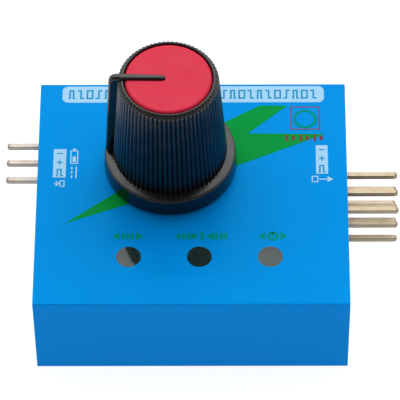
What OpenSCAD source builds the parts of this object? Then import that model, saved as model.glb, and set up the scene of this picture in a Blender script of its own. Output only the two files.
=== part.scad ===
// Three-channel servo tester: a control board in a blue folded case, with a knob, a select key,
// three indicator windows, an input pin row and a block of output pins.
// The origin is the centre of the underside. +X points to the output pins and +Y to the rear.

/* [Case] */
// Width of the case, left to right
case_w = 36.5; // [36.4:0.1:40]
// Depth of the case, front to rear
case_d = 32.2; // [32:0.1:36]
// Height of the case
case_h = 12.7; // [12.6:0.1:14]
// Thickness of the case sheet
wall_t = 0.9; // [0.8:0.05:0.9]
// Outer radius of the folded front and rear edges
fold_r = 0.1; // [0.1:0.05:0.8]
// Outer radius of the cut left and right edges
edge_r = 0.1; // [0.1:0.05:0.4]

/* [Windows and key] */
// Diameter of an indicator window
window_d = 2.9; // [2.5:0.1:3.2]
// Distance between neighbouring windows
window_pitch = 8.2; // [7.5:0.1:9]
// Sideways place of the middle window
window_x = 0.9; // [0:0.1:1.5]
// Front-to-rear place of the windows
window_y = -9.4; // [-10.5:0.1:-9]
// Sideways place of the select key
key_x = 13.4; // [12.5:0.1:13.6]
// Front-to-rear place of the select key
key_y = 10.75; // [10.6:0.05:11]
// Diameter of the select key
key_d = 2.8; // [2.4:0.1:3]
// Travel of the select key
key_travel = 0.25; // [0.2:0.05:0.25]

/* [Knob] */
// Sideways place of the knob's axis
knob_x = -2.56; // [-3:0.02:-2]
// Front-to-rear place of the knob's axis
knob_y = 4.2; // [4:0.1:4.4]
// Diameter of the knob's skirt
skirt_d = 15.6; // [15:0.1:16]
// Height of the skirt's wall
skirt_h = 2.4; // [2.3:0.05:2.7]
// Diameter of the ribbed grip above the skirt
grip_base_d = 13.4; // [13.2:0.1:13.6]
// Diameter of the grip at the top
grip_top_d = 11.7; // [11.4:0.1:12]
// Height of the knob's rim above its underside
knob_h = 15.9; // [15:0.1:16.5]
// Number of ribs round the grip
rib_count = 70; // [40:2:72]
// Diameter of the red insert
cap_d = 10.1; // [9:0.1:10.2]
// Width of the fin that carries the pointer
fin_w = 0.95; // [0.8:0.05:1.2]
// Turn of the knob in its rest place, clockwise from the left
pointer_turn = 1.7; // [0:0.1:5]

/* [Board] */
// Thickness of the circuit board
board_t = 1.6; // [1.2:0.1:1.6]
// Height of the board's underside above the case's underside
board_z = 2.2; // [2.2:0.05:2.3]

/* [Headers] */
// Pitch of the header pins
pin_pitch = 2.54; // [2.54:0.01:2.56]
// Height from one row of output pins to the next
row_pitch = 2.8; // [2.54:0.02:2.8]
// Side of a square header pin
pin_side = 0.64; // [0.5:0.02:0.66]
// Length of input pin outside the case
input_reach = 4.3; // [3.5:0.1:6]
// Length of output pin outside the case
output_reach = 6; // [4:0.1:7]
// Front-to-rear place of the input row's middle pin
input_y = 10.1; // [9.8:0.1:10.4]
// Front-to-rear place of the output block's middle column
output_y = 1.4; // [1.2:0.1:1.8]

/* [Hidden] */
// A cut runs past the face it opens by this much
over = 0.5;
// Gap round a flush insert
insert_gap = 0.01;
// Running clearance of a shaft in its hole, on the radius
running_gap = 0.05;
// Gap between two parts that slide or drop past each other
free_gap = 0.05;
// A clearance hole is this much wider than what goes through it
hole_slack = 0.2;

// Case
cover_under = case_h - wall_t;
corner_r = 0.3;
snap_w = 10;
snap_depth = 0.12;
snap_h = 0.4;
snap_z = 0.45;

// Board
board_top = board_z + board_t;
board_w = case_w - 2 * wall_t - 0.4;
board_d = case_d - 2 * wall_t - 0.4;
lead_hole_d = 1;
tail_z = board_z - 0.9;
post_d = 3;
peg_d = 1.8;
front_post = [15, -13];
rear_post = [7.5, 13];

// Headers
housing_t = 2.5;
housing_x = case_w / 2 - wall_t - 0.3;
row_lift = 1.1;
row_z = board_top + row_lift;
leg_step = pin_pitch;
first_leg = housing_x - housing_t - 1.6;
opening_gap = 0.15;

// Potentiometer, from the board up. Its places are given from the knob's axis.
pot_w = 9.6;
pot_front = 6.2;
pot_rear = 5;
pot_foot_h = 0.5;
wafer_t = 0.8;
wafer_z = board_top + pot_foot_h;
pot_case_z = wafer_z + wafer_t;
plate_t = 1;
plate_z = cover_under - plate_t;
cavity_r = 4.4;
track_t = 0.1;
wiper_z = pot_case_z + 0.85;
wiper_t = 0.25;
rotor_z = wiper_z + wiper_t;
rotor_t = 1.2;
rotor_r = 4.2;
hub_r = 3.8;
strap_t = 0.6;
strap_w = 2;
strap_upper_w = 6;
wafer_foot_d = 1.2;
wafer_foot_x = 3.8;
wafer_foot_y = 4;
race_outer_r = 3.8;
race_inner_r = 2.8;
race_gap_w = 2;
collector_outer_r = 2;
collector_inner_r = 1.2;
wiper_r = 3.6;
finger_size = [0.5, 1];
pot_lead_size = [0.7, 0.4];
pot_lead_y = -5;
pot_lead_pitch = 2.5;
shaft_d = 6;
bushing_d = 7;
bushing_top = case_h + 3.6;
washer_d = 10.5;
washer_t = 0.4;
nut_across = 10;
nut_t = 1.6;
shaft_slot_w = 1;
shaft_slot_depth = 6;
// The rotor's lug meets the case's stop rib after this much turn each way
half_travel = 150;
lug_half = 7;

// Knob
knob_gap = 0.15;
knob_z = case_h + knob_gap;
shaft_top = knob_z + 11;
skirt_ease = 0.3;
ledge_r = skirt_d / 2 - 0.12;
ledge_rise = 0.4;
rib_depth = 0.35;
pocket_depth = 1.2;
pocket_gap = 0.02;
nut_recess_d = 12.2;
nut_recess_h = washer_t + nut_t - knob_gap + 0.4;
bushing_recess_d = 8.2;
bushing_recess_h = bushing_top - knob_z + 0.3;
// The pointer narrows inwards and ends just short of the axis
bar_rise = 0.3;
bar_root_w = 0.8;
bar_tip_w = 0.6;
bar_end = -0.37;
fin_root_r = 4.6;
fin_top_r = 6.9;
fin_foot_r = 7.6;
fin_round = 1;

// Select switch, from the board up
switch_w = 6;
switch_base_h = 3.3;
switch_frame_t = 0.3;
switch_frame_z = board_top + switch_base_h;
dome_z = board_top + 1.4;
dome_r = 2.1;
dome_t = 0.15;
dome_h = 0.5;
plunger_d = 3.5;
flange_d = 4.4;
switch_leg_x = 2.25;
switch_leg_size = [0.7, 0.3];
switch_leg_h = 1.2;
flange_z = dome_z + dome_h + key_travel + 0.02;
collar_z = cover_under - 0.32;
collar_t = 0.3;
collar_d = key_d + 1;

// Small parts on the board
led_size = [2, 1.25, 0.5];
chip_size = [2, 1.25, 0.5];
chip_end = 0.3;
mcu_size = [8.65, 3.9, 1.5];
mcu_place = [8, -4.9];
mcu_lead_pitch = 1.27;
can_d = 5;
can_h = 4.4;
can_base = 5.3;
can_base_h = 1;
can_place = [-11.4, -2.6];
resistor_places = [[-4.2, -11.9], [4, -11.9], [12.2, -11.9], [-7.2, -5.6], [9.4, 6.4]];
chip_capacitor_places = [[-11.4, 3], [0.6, -4.9], [13.4, -8.6]];

// A rectangle about the origin with round corners
module rounded_rect(w, d, r) {
    square([w - 2 * r, d], center = true);
    square([w, d - 2 * r], center = true);
    for (sx = [-1, 1], sy = [-1, 1])
        translate([sx * (w / 2 - r), sy * (d / 2 - r)])
            circle(r = r, $fn = 48);
}

// An upright rectangle standing on the x axis, with its two top corners round
module folded_profile(w, h, r) {
    translate([-w / 2, 0])
        square([w, h - r]);
    translate([-w / 2 + r, 0])
        square([w - 2 * r, h]);
    for (side = [-1, 1])
        translate([side * (w / 2 - r), h - r])
            circle(r = r, $fn = 48);
}

// Runs an upright profile along X, with the profile's own x along Y
module along_x(length) {
    rotate([90, 0, 90])
        translate([0, 0, -length / 2])
            linear_extrude(length)
                children();
}

// Runs an upright profile along Y, with the profile's own x along X
module along_y(length) {
    rotate([90, 0, 0])
        translate([0, 0, -length / 2])
            linear_extrude(length)
                children();
}

// A box whose base is centred on the origin
module block(size) {
    translate([-size[0] / 2, -size[1] / 2, 0])
        cube(size);
}

// Snap ridges on the base, and their slightly larger grooves in the cover
module snap_ridges(extra) {
    ridge_y = case_d / 2 - wall_t - free_gap;
    for (side = [-1, 1])
        translate([0, side * ridge_y, snap_z - extra])
            block([snap_w + 2 * extra, 2 * (snap_depth + extra), snap_h + 2 * extra]);
}

module case_outside() {
    intersection() {
        along_x(case_w)
            folded_profile(case_d, case_h, fold_r);
        along_y(case_d)
            folded_profile(case_w, case_h, edge_r);
        linear_extrude(case_h)
            rounded_rect(case_w, case_d, corner_r);
    }
}

// Height of a header's plastic block
function housing_h(rows) = (rows - 1) * row_pitch + 2 * row_lift;

// Opening for a header with a number of rows, cut through the wall on one side
module header_opening(side, place_y, rows) {
    cut_w = 3 * pin_pitch + 2 * opening_gap;
    cut_h = housing_h(rows) + 2 * opening_gap;
    translate([side * case_w / 2, place_y, board_top - opening_gap])
        block([4 * wall_t, cut_w, cut_h]);
}

module top_cover() {
    color([0.02, 0.55, 0.88])
    difference() {
        case_outside();
        translate([0, 0, -over])
            block([case_w - 2 * wall_t, case_d - 2 * wall_t, cover_under + over]);
        for (i = [-1:1])
            translate([window_x + i * window_pitch, window_y, 0])
                cylinder(d = window_d, h = case_h + over, $fn = 64);
        translate([key_x, key_y, 0])
            cylinder(d = key_d + 2 * free_gap, h = case_h + over, $fn = 64);
        translate([knob_x, knob_y, 0])
            cylinder(d = bushing_d + hole_slack, h = case_h + over, $fn = 64);
        header_opening(-1, input_y, 1);
        header_opening(1, output_y, 3);
        snap_ridges(0.04);
    }
}

// The four places where the base holds the board
module at_posts() {
    for (side = [-1, 1]) {
        translate([side * front_post[0], front_post[1], 0])
            children();
        translate([side * rear_post[0], rear_post[1], 0])
            children();
    }
}

module base_cover() {
    color([0.02, 0.45, 0.78]) {
        linear_extrude(wall_t)
            rounded_rect(case_w - 2 * wall_t - 2 * free_gap, case_d - 2 * wall_t - 2 * free_gap, corner_r);
        snap_ridges(0);
        at_posts()
            cylinder(d = post_d, h = board_z, $fn = 48);
        at_posts()
            cylinder(d = peg_d, h = board_top - 0.4, $fn = 48);
    }
}

// Places a child at each leg of one header row
module at_row_legs(side, place_y, row) {
    for (column = [-1:1])
        translate([side * (first_leg - row * leg_step), place_y + column * pin_pitch, 0])
            children();
}

module at_pot_leads() {
    for (i = [-1:1])
        translate([knob_x + i * pot_lead_pitch, knob_y + pot_lead_y, 0])
            children();
}

module at_pot_straps() {
    for (side = [-1, 1])
        translate([knob_x + side * (pot_w / 2 + strap_t / 2), knob_y, 0])
            children();
}

module at_switch_legs() {
    for (sx = [-1, 1], sy = [-1, 1])
        translate([key_x + sx * switch_leg_x, key_y + sy * (switch_w + switch_leg_size[1]) / 2, 0])
            children();
}

// Every place where a thin lead goes through the board
module at_thin_leads() {
    at_row_legs(-1, input_y, 0)
        children();
    for (row = [0:2])
        at_row_legs(1, output_y, row)
            children();
    at_pot_leads()
        children();
    at_switch_legs()
        children();
}

module circuit_board() {
    color([0.05, 0.32, 0.16])
    translate([0, 0, board_z])
        difference() {
            linear_extrude(board_t)
                rounded_rect(board_w, board_d, 0.5);
            translate([0, 0, -over])
                at_thin_leads()
                    cylinder(d = lead_hole_d, h = board_t + 2 * over, $fn = 32);
            translate([0, 0, -over])
                at_pot_straps()
                    block([strap_t + hole_slack, strap_w + hole_slack, board_t + 2 * over]);
            translate([0, 0, -over])
                at_posts()
                    cylinder(d = peg_d + hole_slack, h = board_t + 2 * over, $fn = 48);
        }
}

module window(index) {
    color([0.75, 0.8, 0.8, 0.5])
    translate([window_x + index * window_pitch, window_y, cover_under])
        cylinder(d = window_d - 2 * insert_gap, h = wall_t, $fn = 64);
}

module window_left() {
    window(-1);
}

module window_middle() {
    window(0);
}

module window_right() {
    window(1);
}

// Round key, flush with the cover, with a collar that keeps it from lifting out
module select_pad() {
    color([0.02, 0.55, 0.88])
    translate([key_x, key_y, 0]) {
        translate([0, 0, collar_z])
            cylinder(d = key_d, h = case_h - collar_z, $fn = 64);
        translate([0, 0, collar_z])
            cylinder(d = collar_d, h = collar_t, $fn = 64);
    }
}

module switch_base() {
    color([0.1, 0.1, 0.1])
    translate([key_x, key_y, board_top])
        difference() {
            block([switch_w, switch_w, switch_base_h]);
            translate([0, 0, dome_z - board_top])
                cylinder(d = flange_d + hole_slack, h = switch_base_h, $fn = 64);
        }
}

module switch_frame() {
    color([0.78, 0.78, 0.76])
    translate([key_x, key_y, switch_frame_z])
        difference() {
            block([switch_w, switch_w, switch_frame_t]);
            translate([0, 0, -over])
                cylinder(d = plunger_d + 2 * running_gap, h = switch_frame_t + 2 * over, $fn = 64);
        }
}

// Shallow domed spring disc
module switch_dome() {
    sphere_r = (dome_r * dome_r + dome_h * dome_h) / (2 * dome_h);
    color([0.8, 0.78, 0.7])
    translate([key_x, key_y, dome_z])
        intersection() {
            cylinder(r = dome_r, h = dome_h, $fn = 64);
            difference() {
                translate([0, 0, dome_h - sphere_r])
                    sphere(r = sphere_r, $fn = 96);
                translate([0, 0, dome_h - sphere_r])
                    sphere(r = sphere_r - dome_t, $fn = 96);
            }
        }
}

module switch_plunger() {
    color([0.12, 0.12, 0.12])
    translate([key_x, key_y, 0]) {
        translate([0, 0, flange_z])
            cylinder(d = plunger_d, h = collar_z - flange_z, $fn = 64);
        translate([0, 0, flange_z])
            cylinder(d = flange_d, h = switch_frame_z - 0.02 - flange_z, $fn = 64);
    }
}

module switch_terminals() {
    color([0.8, 0.8, 0.78])
    at_switch_legs()
        translate([0, 0, tail_z])
            block([switch_leg_size[0], switch_leg_size[1], board_top + switch_leg_h - tail_z]);
}

// The potentiometer's footprint, from its axis
module pot_outline() {
    translate([-pot_w / 2, -pot_front])
        square([pot_w, pot_front + pot_rear]);
}

// A stretch of a ring between two radii, about a middle direction
module ring_sector(inner_r, outer_r, middle, half_angle) {
    reach = outer_r * 2;
    intersection() {
        difference() {
            circle(r = outer_r, $fn = 96);
            circle(r = inner_r, $fn = 96);
        }
        rotate(middle)
            polygon([
                [0, 0],
                [reach * cos(half_angle), -reach * sin(half_angle)],
                [reach, 0],
                [reach * cos(half_angle), reach * sin(half_angle)]
            ]);
    }
}

module pot_case() {
    stop_half = 180 - half_travel - lug_half - 0.5;
    color([0.1, 0.12, 0.16])
    translate([knob_x, knob_y, 0]) {
        translate([0, 0, pot_case_z])
            difference() {
                linear_extrude(plate_z - pot_case_z)
                    pot_outline();
                translate([0, 0, -over])
                    cylinder(r = cavity_r, h = plate_z, $fn = 96);
            }
        translate([0, 0, rotor_z + rotor_t + 0.1])
            linear_extrude(plate_z - rotor_z - rotor_t - 0.1)
                ring_sector(hub_r + 0.1, cavity_r + 0.1, 90, stop_half);
    }
}

// Steel plate on top with two side straps that run down through the board
module pot_frame() {
    color([0.75, 0.75, 0.72]) {
        translate([knob_x, knob_y, plate_z])
            difference() {
                union() {
                    linear_extrude(plate_t)
                        pot_outline();
                    for (side = [-1, 1])
                        translate([side * (pot_w / 2 + strap_t / 2), 0, 0])
                            block([strap_t, strap_upper_w, plate_t]);
                }
                translate([0, 0, -over])
                    cylinder(d = bushing_d, h = plate_t + 2 * over, $fn = 64);
            }
        at_pot_straps()
            translate([0, 0, board_top])
                block([strap_t, strap_upper_w, plate_z - board_top]);
        at_pot_straps()
            translate([0, 0, tail_z])
                block([strap_t, strap_w, board_top - tail_z]);
    }
}

module pot_bushing() {
    color([0.8, 0.72, 0.5])
    translate([knob_x, knob_y, plate_z])
        difference() {
            cylinder(d = bushing_d, h = bushing_top - plate_z, $fn = 64);
            translate([0, 0, -over])
                cylinder(d = shaft_d + 2 * running_gap, h = case_h, $fn = 64);
        }
}

module pot_wafer() {
    color([0.45, 0.28, 0.14])
    difference() {
        union() {
            translate([knob_x, knob_y, wafer_z])
                linear_extrude(wafer_t)
                    pot_outline();
            for (side = [-1, 1])
                translate([knob_x + side * wafer_foot_x, knob_y + wafer_foot_y, board_top])
                    cylinder(d = wafer_foot_d, h = pot_foot_h, $fn = 32);
        }
        at_pot_leads()
            cylinder(d = lead_hole_d, h = case_h, $fn = 32);
    }
}

// Resistive horseshoe and the collector ring inside it
module pot_track() {
    color([0.05, 0.05, 0.05])
    translate([knob_x, knob_y, pot_case_z])
        linear_extrude(track_t) {
            difference() {
                circle(r = race_outer_r, $fn = 96);
                circle(r = race_inner_r, $fn = 96);
                translate([-race_gap_w / 2, 0])
                    square([race_gap_w, race_outer_r + over]);
            }
            difference() {
                circle(r = collector_outer_r, $fn = 96);
                circle(r = collector_inner_r, $fn = 96);
            }
        }
}

module pot_terminals() {
    color([0.8, 0.8, 0.78])
    at_pot_leads()
        translate([0, 0, tail_z])
            block([pot_lead_size[0], pot_lead_size[1], wafer_z + wafer_t - tail_z]);
}

// Spring plate under the rotor with two contact fingers
module pot_wiper() {
    finger_z = pot_case_z + track_t + 0.02;
    color([0.8, 0.7, 0.4])
    translate([knob_x, knob_y, 0]) {
        translate([0, 0, wiper_z])
            cylinder(r = wiper_r, h = wiper_t, $fn = 64);
        for (reach = [(collector_inner_r + collector_outer_r) / 2, race_inner_r + finger_size[0]])
            translate([-reach, 0, finger_z])
                block([finger_size[0], finger_size[1], wiper_z - finger_z + wiper_t]);
    }
}

module pot_shaft() {
    color([0.72, 0.72, 0.7])
    translate([knob_x, knob_y, 0])
        difference() {
            union() {
                translate([0, 0, rotor_z])
                    cylinder(r = rotor_r, h = rotor_t, $fn = 64);
                translate([0, 0, rotor_z])
                    cylinder(r = hub_r, h = plate_z - 0.04 - rotor_z, $fn = 64);
                translate([0, 0, rotor_z])
                    cylinder(d = shaft_d, h = shaft_top - rotor_z, $fn = 64);
                translate([0, 0, rotor_z + rotor_t])
                    linear_extrude(plate_z - rotor_z - rotor_t - 0.2)
                        ring_sector(hub_r - 0.3, rotor_r + 0.1, 180, lug_half);
            }
            translate([0, 0, shaft_top - shaft_slot_depth])
                block([shaft_slot_w, shaft_d + 1, shaft_slot_depth + over]);
        }
}

module pot_washer() {
    color([0.82, 0.82, 0.8])
    translate([knob_x, knob_y, case_h])
        difference() {
            cylinder(d = washer_d, h = washer_t, $fn = 64);
            translate([0, 0, -over])
                cylinder(d = bushing_d + hole_slack, h = washer_t + 2 * over, $fn = 64);
        }
}

module pot_nut() {
    color([0.82, 0.82, 0.8])
    translate([knob_x, knob_y, case_h + washer_t])
        difference() {
            cylinder(d = nut_across / cos(30), h = nut_t, $fn = 6);
            translate([0, 0, -over])
                cylinder(d = bushing_d, h = nut_t + 2 * over, $fn = 64);
        }
}

// Outline of the grip at its foot: a narrow flat-topped rib every few degrees
function rib_points(outer_r, inner_r) = [
    for (i = [0:rib_count - 1])
        for (corner = [[0, 0], [0.3, 1], [0.7, 1], [0.99, 0]])
            let (
                r = corner[1] == 1 ? outer_r : inner_r,
                a = 360 / rib_count * (i + corner[0])
            )
            [r * cos(a), r * sin(a)]
];

// Pointer bar on top, from the rim to just short of the axis, with a round end
module pointer_bar(extra) {
    root_half = bar_root_w / 2 + extra;
    tip_half = bar_tip_w / 2 + extra;
    polygon([
        [-cap_d / 2 - 0.3, -root_half],
        [bar_end - tip_half, -tip_half],
        [bar_end - tip_half, tip_half],
        [-cap_d / 2 - 0.3, root_half]
    ]);
    translate([bar_end - tip_half, 0])
        circle(r = tip_half, $fn = 32);
}

// Upright fin that carries the pointer down the side of the grip
module pointer_fin() {
    top = knob_h + bar_rise;
    along_y(fin_w) {
        polygon([
            [-fin_root_r, skirt_h],
            [-fin_foot_r, skirt_h],
            [-fin_top_r, top - fin_round],
            [-fin_top_r + fin_round, top],
            [-fin_root_r, top]
        ]);
        translate([-fin_top_r + fin_round, top - fin_round])
            circle(r = fin_round, $fn = 48);
    }
}

module knob() {
    grip_z = skirt_h + ledge_rise;
    pocket_z = knob_h - pocket_depth;
    color([0.09, 0.1, 0.13])
    translate([knob_x, knob_y, knob_z])
        rotate(-pointer_turn)
            difference() {
                union() {
                    rotate_extrude($fn = 96)
                        polygon([
                            [0, 0],
                            [skirt_d / 2 - 0.1, 0],
                            [skirt_d / 2, skirt_ease],
                            [ledge_r, skirt_h],
                            [grip_base_d / 2 - rib_depth, grip_z],
                            [0, grip_z]
                        ]);
                    translate([0, 0, skirt_h])
                        linear_extrude(knob_h - skirt_h, scale = grip_top_d / grip_base_d)
                            polygon(rib_points(grip_base_d / 2, grip_base_d / 2 - rib_depth));
                    pointer_fin();
                    translate([0, 0, pocket_z])
                        linear_extrude(pocket_depth + bar_rise)
                            pointer_bar(0);
                }
                translate([0, 0, pocket_z])
                    linear_extrude(pocket_depth + over)
                        difference() {
                            circle(d = cap_d + 2 * pocket_gap, $fn = 96);
                            pointer_bar(0);
                        }
                translate([0, 0, -over])
                    cylinder(d = nut_recess_d, h = nut_recess_h + over, $fn = 64);
                translate([0, 0, -over])
                    cylinder(d = bushing_recess_d, h = bushing_recess_h + over, $fn = 64);
                translate([0, 0, -over])
                    cylinder(d = shaft_d, h = shaft_top - knob_z + 0.2 + over, $fn = 64);
            }
}

module knob_cap() {
    color([0.88, 0.25, 0.33])
    translate([knob_x, knob_y, knob_z + knob_h - pocket_depth])
        rotate(-pointer_turn)
            linear_extrude(pocket_depth)
                difference() {
                    circle(d = cap_d, $fn = 96);
                    pointer_bar(pocket_gap);
                }
}

// Plastic block that holds the pins of one header
module header_housing(side, place_y, rows) {
    color([0.08, 0.08, 0.08])
    translate([side * (housing_x - housing_t / 2), place_y, board_top])
        difference() {
            block([housing_t, 3 * pin_pitch, housing_h(rows)]);
            for (column = [-1:1], row = [0:rows - 1])
                translate([0, column * pin_pitch, row_lift + row * row_pitch - pin_side / 2])
                    block([housing_t + 1, pin_side, pin_side]);
        }
}

// Three right-angled square pins of one row
module header_pins(side, place_y, row, reach) {
    tip_x = case_w / 2 + reach;
    leg_x = first_leg - row * leg_step;
    pin_z = row_z + row * row_pitch;
    for (column = [-1:1])
        translate([0, place_y + column * pin_pitch, 0]) {
            translate([side * (tip_x + leg_x - pin_side / 2) / 2, 0, pin_z - pin_side / 2])
                block([tip_x - leg_x + pin_side / 2, pin_side, pin_side]);
            translate([side * leg_x, 0, tail_z])
                block([pin_side, pin_side, pin_z + pin_side / 2 - tail_z]);
        }
}

module input_housing() {
    header_housing(-1, input_y, 1);
}

module input_pins() {
    color([0.8, 0.77, 0.75])
        header_pins(-1, input_y, 0, input_reach);
}

module output_housing() {
    header_housing(1, output_y, 3);
}

module output_pins_lower() {
    color([0.84, 0.76, 0.64])
        header_pins(1, output_y, 0, output_reach);
}

module output_pins_middle() {
    color([0.84, 0.76, 0.64])
        header_pins(1, output_y, 1, output_reach);
}

module output_pins_upper() {
    color([0.84, 0.76, 0.64])
        header_pins(1, output_y, 2, output_reach);
}

// Surface-mount indicator under a window
module led_package(index) {
    color([0.93, 0.93, 0.9])
    translate([window_x + index * window_pitch, window_y, board_top])
        block(led_size);
}

module led_lens(index) {
    color([0.85, 0.9, 0.85])
    translate([window_x + index * window_pitch, window_y, board_top + led_size[2]])
        intersection() {
            block([1.4, 1.1, 0.45]);
            translate([0, 0, -0.55])
                sphere(r = 1, $fn = 48);
        }
}

module led_left() {
    led_package(-1);
}

module led_middle() {
    led_package(0);
}

module led_right() {
    led_package(1);
}

module led_lens_left() {
    led_lens(-1);
}

module led_lens_middle() {
    led_lens(0);
}

module led_lens_right() {
    led_lens(1);
}

module microcontroller() {
    color([0.12, 0.12, 0.12])
    translate([mcu_place[0], mcu_place[1], board_top + 0.15])
        difference() {
            block(mcu_size);
            translate([-mcu_size[0] / 2 + 0.8, -mcu_size[1] / 2 + 0.8, mcu_size[2] - 0.1])
                cylinder(d = 0.7, h = 1, $fn = 32);
        }
}

// Gull-wing leads along both long sides
module microcontroller_leads() {
    half = mcu_size[1] / 2;
    color([0.8, 0.8, 0.78])
    for (i = [-3:3], side = [-1, 1])
        translate([mcu_place[0] + i * mcu_lead_pitch, mcu_place[1], board_top])
            along_x(0.4)
                polygon([
                    [side * half, 0.8],
                    [side * half, 0.6],
                    [side * (half + 0.25), 0.6],
                    [side * (half + 0.4), 0],
                    [side * (half + 1), 0],
                    [side * (half + 1), 0.2],
                    [side * (half + 0.55), 0.2],
                    [side * (half + 0.4), 0.8]
                ]);
}

module capacitor_base() {
    color([0.12, 0.12, 0.12])
    translate([can_place[0], can_place[1], board_top])
        block([can_base, can_base, can_base_h]);
}

module capacitor_can() {
    color([0.78, 0.78, 0.8])
    translate([can_place[0], can_place[1], board_top + can_base_h])
        cylinder(d = can_d, h = can_h, $fn = 64);
}

// Ceramic middles of chip parts, leaving room for their metal ends
module chip_middles(places) {
    for (place = places)
        translate([place[0], place[1], board_top])
            block([chip_size[0] - 2 * chip_end, chip_size[1], chip_size[2]]);
}

module chip_ends(places) {
    for (place = places, side = [-1, 1])
        translate([place[0] + side * (chip_size[0] - chip_end) / 2, place[1], board_top])
            block([chip_end, chip_size[1], chip_size[2]]);
}

module resistors() {
    color([0.1, 0.1, 0.1])
        chip_middles(resistor_places);
}

module resistor_ends() {
    color([0.85, 0.85, 0.83])
        chip_ends(resistor_places);
}

module chip_capacitors() {
    color([0.72, 0.55, 0.36])
        chip_middles(chip_capacitor_places);
}

module chip_capacitor_ends() {
    color([0.85, 0.85, 0.83])
        chip_ends(chip_capacitor_places);
}

// Cone of solder under the board round one lead
module solder_joint(lead_w, lead_d) {
    difference() {
        translate([0, 0, board_z - 0.7])
            cylinder(r1 = 0.55, r2 = 0.85, h = 0.7, $fn = 32);
        block([lead_w, lead_d, board_z + over]);
    }
}

module solder_joints() {
    color([0.78, 0.78, 0.76]) {
        at_row_legs(-1, input_y, 0)
            solder_joint(pin_side, pin_side);
        for (row = [0:2])
            at_row_legs(1, output_y, row)
                solder_joint(pin_side, pin_side);
        at_pot_leads()
            solder_joint(pot_lead_size[0], pot_lead_size[1]);
        at_switch_legs()
            solder_joint(switch_leg_size[0], switch_leg_size[1]);
    }
}

top_cover();
base_cover();
circuit_board();
window_left();
window_middle();
window_right();
select_pad();
switch_base();
switch_frame();
switch_dome();
switch_plunger();
switch_terminals();
pot_case();
pot_frame();
pot_bushing();
pot_wafer();
pot_track();
pot_terminals();
pot_wiper();
pot_shaft();
pot_washer();
pot_nut();
knob();
knob_cap();
input_housing();
input_pins();
output_housing();
output_pins_lower();
output_pins_middle();
output_pins_upper();
led_left();
led_middle();
led_right();
led_lens_left();
led_lens_middle();
led_lens_right();
microcontroller();
microcontroller_leads();
capacitor_can();
capacitor_base();
resistors();
resistor_ends();
chip_capacitors();
chip_capacitor_ends();
solder_joints();
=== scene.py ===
import math

import bmesh
import bpy
from mathutils import Matrix, Vector


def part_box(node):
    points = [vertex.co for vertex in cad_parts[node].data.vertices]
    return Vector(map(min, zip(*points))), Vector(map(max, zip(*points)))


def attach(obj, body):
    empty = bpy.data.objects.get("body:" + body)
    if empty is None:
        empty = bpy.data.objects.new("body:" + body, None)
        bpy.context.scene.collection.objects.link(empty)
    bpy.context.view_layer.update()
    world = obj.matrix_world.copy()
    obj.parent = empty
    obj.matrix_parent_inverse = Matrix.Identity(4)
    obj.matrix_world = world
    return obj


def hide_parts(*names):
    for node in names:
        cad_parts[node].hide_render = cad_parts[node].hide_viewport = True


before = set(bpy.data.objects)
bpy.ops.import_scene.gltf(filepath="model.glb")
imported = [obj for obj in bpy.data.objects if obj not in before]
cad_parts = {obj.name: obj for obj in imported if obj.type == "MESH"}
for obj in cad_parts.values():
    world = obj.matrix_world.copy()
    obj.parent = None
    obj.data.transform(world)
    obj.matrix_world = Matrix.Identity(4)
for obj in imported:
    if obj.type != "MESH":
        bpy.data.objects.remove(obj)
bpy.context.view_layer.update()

MM = 0.001


# ---------------------------------------------------------------- camera

def make_camera():
    """A long lens a little over 50 degrees up, nearly square on to the front."""
    elevation = math.radians(53.41)
    azimuth = math.radians(-0.95)
    roll = math.radians(-0.87)
    distance = 403.9 * MM
    target = Vector((0.93, -0.71, 12)) * MM
    level = math.cos(elevation)
    forward = Vector((math.sin(azimuth) * level, math.cos(azimuth) * level, -math.sin(elevation)))
    side = Vector((math.cos(azimuth), -math.sin(azimuth), 0))
    up = side.cross(forward)
    right = side * math.cos(roll) + up * math.sin(roll)
    top = up * math.cos(roll) - side * math.sin(roll)
    data = bpy.data.cameras.new("camera")
    data.sensor_width = 36
    data.lens = 309.8
    data.clip_start = 0.01
    data.clip_end = 20
    data.dof.use_dof = False
    camera = bpy.data.objects.new("camera", data)
    turn = Matrix((right, top, -forward)).transposed().to_4x4()
    camera.matrix_world = Matrix.Translation(target - forward * distance) @ turn
    bpy.context.scene.collection.objects.link(camera)
    bpy.context.scene.camera = camera


make_camera()


# ---------------------------------------------------------------- places taken from the frame

def span(node):
    """A node's lowest and highest corners, in millimetres."""
    low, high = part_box(node)
    return low / MM, high / MM


def centre(node):
    low, high = span(node)
    return (low + high) / 2


CASE_LOW, CASE_HIGH = span("top_cover")
TOP = CASE_HIGH.z
WALL = TOP - span("window_middle")[0].z
WINDOWS = [centre(f"window_{side}") for side in ("left", "middle", "right")]
WINDOW_D = span("window_middle")[1].x - span("window_middle")[0].x
KEY = centre("select_pad")
AXIS = centre("pot_nut")
KNOB_LOW, KNOB_HIGH = span("knob")

# Sizes that no node's box gives, in millimetres. FOLD is the radius of the cover's folded edges,
# ROW_PITCH the height from one row of pins to the next, and ROW_LIFT the height of a header's lowest row.
KEY_D = 2.8
BUSHING_D = 7
FOLD = 0.1
PITCH = 2.54
ROW_PITCH = 2.8
ROW_LIFT = 1.1
PIN = 0.64


# ---------------------------------------------------------------- mesh helpers (millimetres in, metres out)

def link_object(name, mesh):
    """A new object in the scene with this mesh."""
    piece = bpy.data.objects.new(name, mesh)
    bpy.context.scene.collection.objects.link(piece)
    return piece


def piece_from(name, bm):
    """Turns a bmesh in millimetres into an object in metres."""
    bmesh.ops.recalc_face_normals(bm, faces=bm.faces)
    bmesh.ops.scale(bm, vec=(MM, MM, MM), verts=bm.verts)
    mesh = bpy.data.meshes.new(name)
    bm.to_mesh(mesh)
    bm.free()
    return link_object(name, mesh)


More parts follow.
